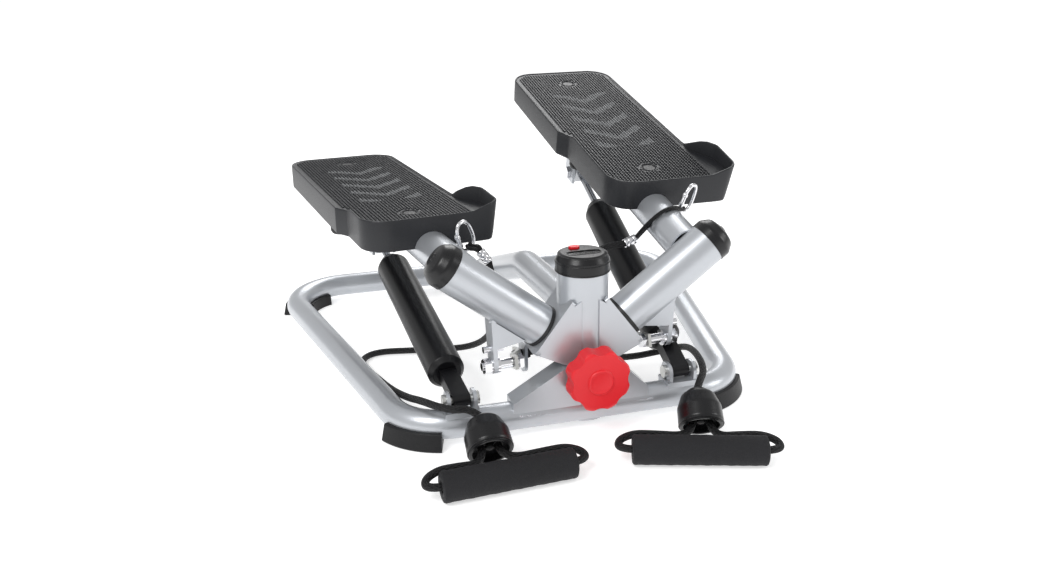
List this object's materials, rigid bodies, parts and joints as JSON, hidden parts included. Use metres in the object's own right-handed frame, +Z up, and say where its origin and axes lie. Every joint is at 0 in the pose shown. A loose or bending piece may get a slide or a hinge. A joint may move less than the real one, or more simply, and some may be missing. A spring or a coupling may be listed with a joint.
{
  "type": "twist stepper",
  "caption": "Twist stepper with a silver tubular base, two linked pedals on slanted spindles, hydraulic dampers, a console and corded foam handles.",
  "frame": {"origin": "centre of the footprint at floor level, measured without the cords", "axes": "+X to the right and +Y to the rear as seen by the user's front side, +Z up; the post and handles are at -Y"},
  "size_m": [0.4862, 0.5489, 0.2618],
  "materials": {
    "silver_paint": "smooth metallic silver powder coat",
    "black_paint": "gloss black enamel",
    "chrome_steel": "bright plated",
    "rod_steel": "ground and chromed",
    "zinc_steel": "zinc plated",
    "black_steel": "black oxide",
    "foot_rubber": "matte moulded",
    "black_plastic": "semi-gloss moulded",
    "pedal_plastic": "fine texture",
    "bush_plastic": "smooth",
    "red_plastic": "satin moulded",
    "lens": "clear dark window",
    "lcd": "grey display",
    "circuit": "solder mask",
    "foam": "closed-cell foam",
    "cord_cover": "braided sleeve over latex"
  },
  "bodies": {
    "frame": {"base_frame": "silver_paint", "spine_tube": "silver_paint", "post_tube": "silver_paint", "spindle_plates": "silver_paint", "upper_gussets": "silver_paint", "lower_gussets": "silver_paint", "spindles": "zinc_steel", "spindle_nuts": "zinc_steel", "front_feet": "foot_rubber", "rear_feet": "foot_rubber", "console_cap": "black_plastic", "console_window": "lens", "console_display": "lcd", "console_board": "circuit", "console_battery": "chrome_steel", "knob_nut": "chrome_steel", "damper_brackets": "silver_paint", "damper_pins": "zinc_steel", "rocker_pivot_bolt": "zinc_steel", "left_cord": "cord_cover", "right_cord": "cord_cover", "handle_caps": "black_plastic", "handle_cords": "cord_cover"},
    "button": {"console_button": "red_plastic"},
    "knob": {"step_knob": "red_plastic", "knob_stem": "zinc_steel"},
    "rocker": {"rocker": "silver_paint", "rocker_end_bolts": "black_steel"},
    "left_link": {"left_link_strap": "zinc_steel"},
    "right_link": {"right_link_strap": "zinc_steel"},
    "left_handle_grip": {"left_grip": "foam"},
    "right_handle_grip": {"right_grip": "foam"},
    "left_arm": {"left_sleeve": "silver_paint", "left_end_cap": "black_plastic", "left_bushes": "bush_plastic", "left_arm_tube": "silver_paint", "left_link_lever": "silver_paint", "left_pivot_bolts": "chrome_steel", "left_arm_brackets": "silver_paint", "left_pedal": "pedal_plastic", "left_pedal_bolts": "black_steel", "left_bumper": "foot_rubber", "left_cord_hook": "chrome_steel"},
    "left_damper": {"left_damper_clevis": "black_paint", "left_damper_cylinder": "black_paint"},
    "left_rod": {"left_damper_rod": "rod_steel"},
    "right_arm": {"right_sleeve": "silver_paint", "right_end_cap": "black_plastic", "right_bushes": "bush_plastic", "right_arm_tube": "silver_paint", "right_link_lever": "silver_paint", "right_pivot_bolts": "chrome_steel", "right_arm_brackets": "silver_paint", "right_pedal": "pedal_plastic", "right_pedal_bolts": "black_steel", "right_bumper": "foot_rubber", "right_cord_hook": "chrome_steel"},
    "right_damper": {"right_damper_clevis": "black_paint", "right_damper_cylinder": "black_paint"},
    "right_rod": {"right_damper_rod": "rod_steel"}
  },
  "joints": [
    {"name": "left_arm", "type": "hinge", "parent": "frame", "child": "left_arm", "pos_m": [0.0094, -0.134, 0.0625], "axis": [0.7955, 0, -0.606], "range_deg": [0, 16], "deforming": ["left_cord"]},
    {"name": "right_arm", "type": "hinge", "parent": "frame", "child": "right_arm", "pos_m": [0.0094, -0.134, 0.0625], "axis": [0.7955, 0, 0.606], "range_deg": [-16, 0], "deforming": ["right_cord"]},
    {"name": "rocker_turn", "type": "hinge", "parent": "frame", "child": "rocker", "pos_m": [0.0094, -0.088, 0.05], "axis": [0, 0, 1], "range_deg": [-12.26, 0]},
    {"name": "left_link_turn", "type": "hinge", "parent": "rocker", "child": "left_link", "pos_m": [-0.04041, -0.09334, 0.05], "axis": [0, 0, 1], "range_deg": [0, 12.26]},
    {"name": "right_link_turn", "type": "hinge", "parent": "rocker", "child": "right_link", "pos_m": [0.05921, -0.08266, 0.05], "axis": [0, 0, 1], "range_deg": [0, 12.26]},
    {"name": "left_damper_swing", "type": "hinge", "parent": "frame", "child": "left_damper", "pos_m": [-0.1055, -0.148, 0.0387], "axis": [0.7727, 0.1955, -0.6039], "range_deg": [0, 13.98]},
    {"name": "left_rod_slide", "type": "slide", "parent": "left_damper", "child": "left_rod", "axis": [-0.0881, 0.9752, 0.203], "range_m": [0, 0.02268]},
    {"name": "right_damper_swing", "type": "hinge", "parent": "frame", "child": "right_damper", "pos_m": [0.0975, -0.148, 0.0387], "axis": [-0.7575, 0.2629, -0.5976], "range_deg": [0, 14.13]},
    {"name": "right_rod_slide", "type": "slide", "parent": "right_damper", "child": "right_rod", "axis": [0.0175, 0.9232, 0.3839], "range_m": [-0.01848, 0]},
    {"name": "knob_turn", "type": "hinge", "parent": "frame", "child": "knob", "pos_m": [0.0094, -0.174, 0.054], "axis": [0, -1, 0], "continuous": true},
    {"name": "button_press", "type": "slide", "parent": "frame", "child": "button", "axis": [0, 0, -1], "range_m": [0, 0.001], "stiffness_N_per_m": 300},
    {"name": "left_grip_turn", "type": "hinge", "parent": "frame", "child": "left_handle_grip", "pos_m": [-0.0864, -0.2374, 0.0125], "axis": [0.9985, 0.0541, 0], "continuous": true},
    {"name": "right_grip_turn", "type": "hinge", "parent": "frame", "child": "right_handle_grip", "pos_m": [0.0722, -0.246, 0.0125], "axis": [0.95, -0.3123, 0], "continuous": true}
  ],
  "couplings": [
    {"joint": "right_arm", "follows": "left_arm", "ratio": -1},
    {"joint": "rocker_turn", "follows": "left_arm", "ratio": -0.7654},
    {"joint": "left_link_turn", "follows": "left_arm", "ratio": 0.7654},
    {"joint": "right_link_turn", "follows": "left_arm", "ratio": 0.7654},
    {"joint": "left_damper_swing", "follows": "left_arm", "ratio": 0.87342},
    {"joint": "left_rod_slide", "follows": "left_arm", "m_per_rad": 0.081187},
    {"joint": "right_damper_swing", "follows": "left_arm", "ratio": 0.88244},
    {"joint": "right_rod_slide", "follows": "left_arm", "m_per_rad": -0.066134}
  ]
}
